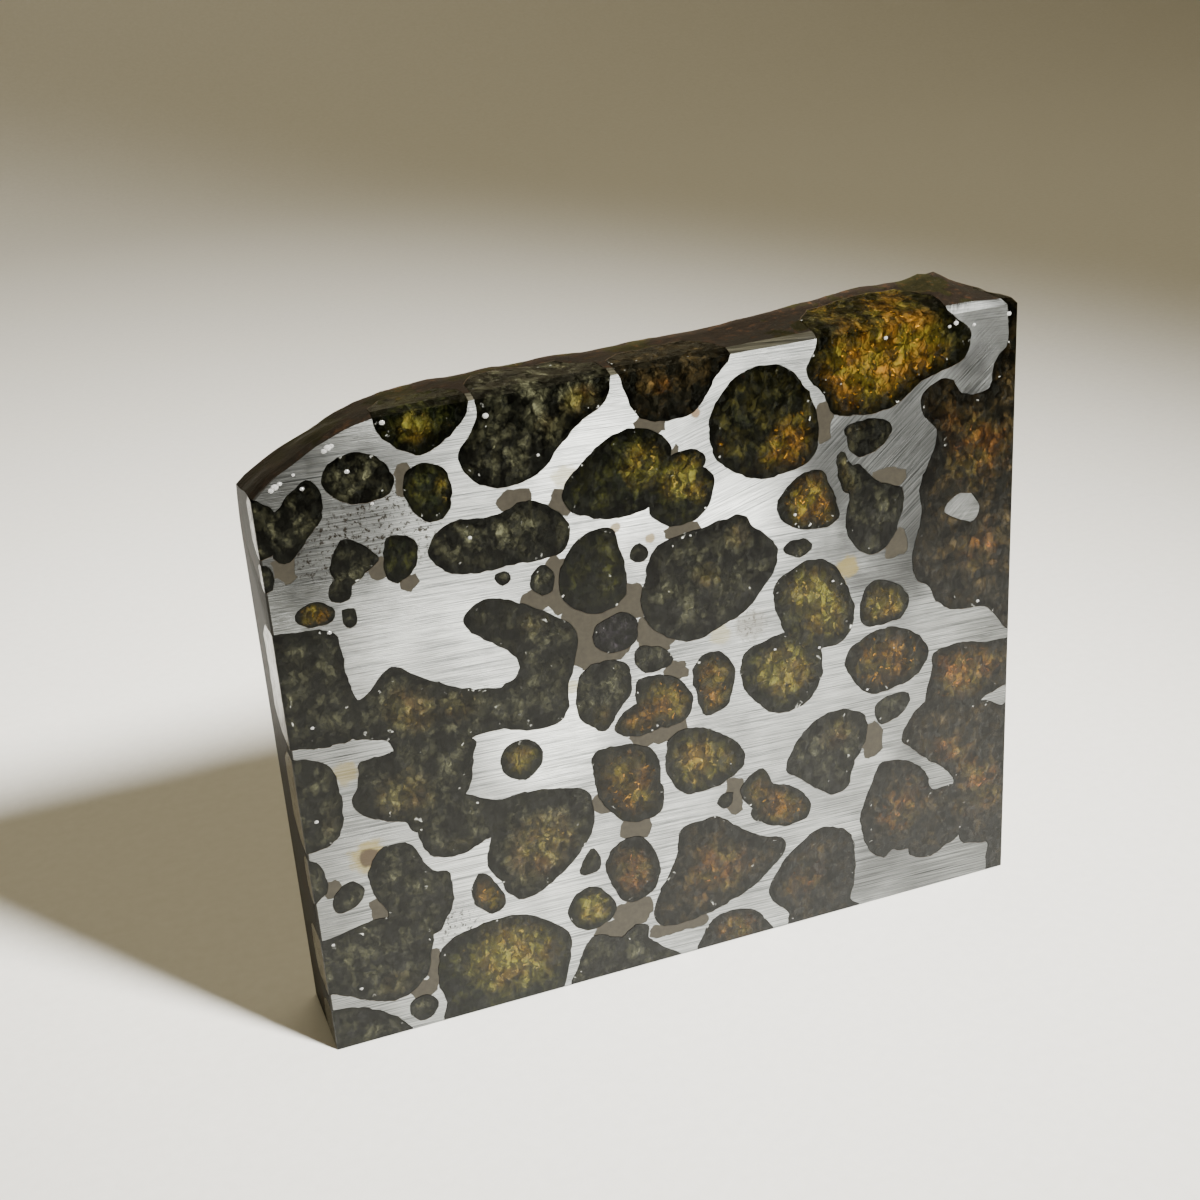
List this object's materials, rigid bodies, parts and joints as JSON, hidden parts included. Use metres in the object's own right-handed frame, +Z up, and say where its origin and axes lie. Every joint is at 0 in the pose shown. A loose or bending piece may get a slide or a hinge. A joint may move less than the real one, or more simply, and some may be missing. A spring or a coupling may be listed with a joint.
{
  "type": "pallasite meteorite end cut",
  "caption": "Upright sawn slab of nickel-iron meteorite, one broad face polished, with olivine crystals set in the metal and a natural crust behind.",
  "frame": {"origin": "centre of the base of the bounding box, on the surface the slab stands on", "axes": "+X along the slab's width, to the right seen from the polished face; +Y from the polished face to the crusted back; +Z up"},
  "size_m": [0.065, 0.0106, 0.0567],
  "materials": {
    "nickel_iron": "sawn, ground with one-way scratches and lacquered; natural dark crust on the back",
    "olivine_black": "polished, fractured, near-black olivine",
    "olivine_green": "polished, fractured olive-green olivine",
    "olivine_amber": "polished, fractured amber olivine",
    "olivine_brown": "polished, fractured red-brown olivine"
  },
  "bodies": {
    "root": {"chromite_grain": "olivine_black", "nickel_iron_matrix": "nickel_iron", "olivine_bottom_dark": "olivine_black", "olivine_bottom_large": "olivine_green", "olivine_bottom_left": "olivine_black", "olivine_bottom_middle": "olivine_brown", "olivine_bottom_right": "olivine_brown", "olivine_bottom_small_oval": "olivine_black", "olivine_centre_large": "olivine_black", "olivine_centre_left": "olivine_black", "olivine_centre_pair": "olivine_amber", "olivine_centre_round": "olivine_amber", "olivine_centre_small": "olivine_black", "olivine_centre_speck": "olivine_black", "olivine_left_amber": "olivine_amber", "olivine_left_edge_chip": "olivine_black", "olivine_left_edge_oval": "olivine_black", "olivine_left_edge_small": "olivine_black", "olivine_left_mass": "olivine_black", "olivine_left_oval": "olivine_green", "olivine_left_round": "olivine_green", "olivine_left_speck": "olivine_black", "olivine_left_wedge": "olivine_black", "olivine_lower_chip": "olivine_black", "olivine_lower_egg": "olivine_brown", "olivine_lower_large_brown": "olivine_brown", "olivine_lower_left_egg": "olivine_amber", "olivine_lower_left_mass": "olivine_black", "olivine_lower_left_oval": "olivine_black", "olivine_lower_middle": "olivine_amber", "olivine_lower_middle_right": "olivine_green", "olivine_lower_oval": "olivine_green", "olivine_lower_right_bean": "olivine_black", "olivine_lower_right_mass": "olivine_brown", "olivine_lower_right_pair": "olivine_amber", "olivine_lower_right_speck": "olivine_black", "olivine_middle_chip": "olivine_black", "olivine_middle_shield": "olivine_green", "olivine_right_amber": "olivine_amber", "olivine_right_bead": "olivine_black", "olivine_right_brown_mass": "olivine_brown", "olivine_right_chip": "olivine_black", "olivine_right_dark_drop": "olivine_black", "olivine_right_large_oval": "olivine_amber", "olivine_right_oval": "olivine_green", "olivine_right_pair": "olivine_green", "olivine_top_edge_amber": "olivine_amber", "olivine_top_edge_large": "olivine_black", "olivine_top_edge_left": "olivine_green", "olivine_top_edge_red": "olivine_brown", "olivine_top_left_pair": "olivine_black", "olivine_upper_golden": "olivine_amber", "olivine_upper_left_oval": "olivine_black", "olivine_upper_left_round": "olivine_green", "olivine_upper_long": "olivine_black", "olivine_upper_middle": "olivine_green", "olivine_upper_right_chip": "olivine_black", "olivine_upper_speck": "olivine_black"}
  },
  "joints": []
}
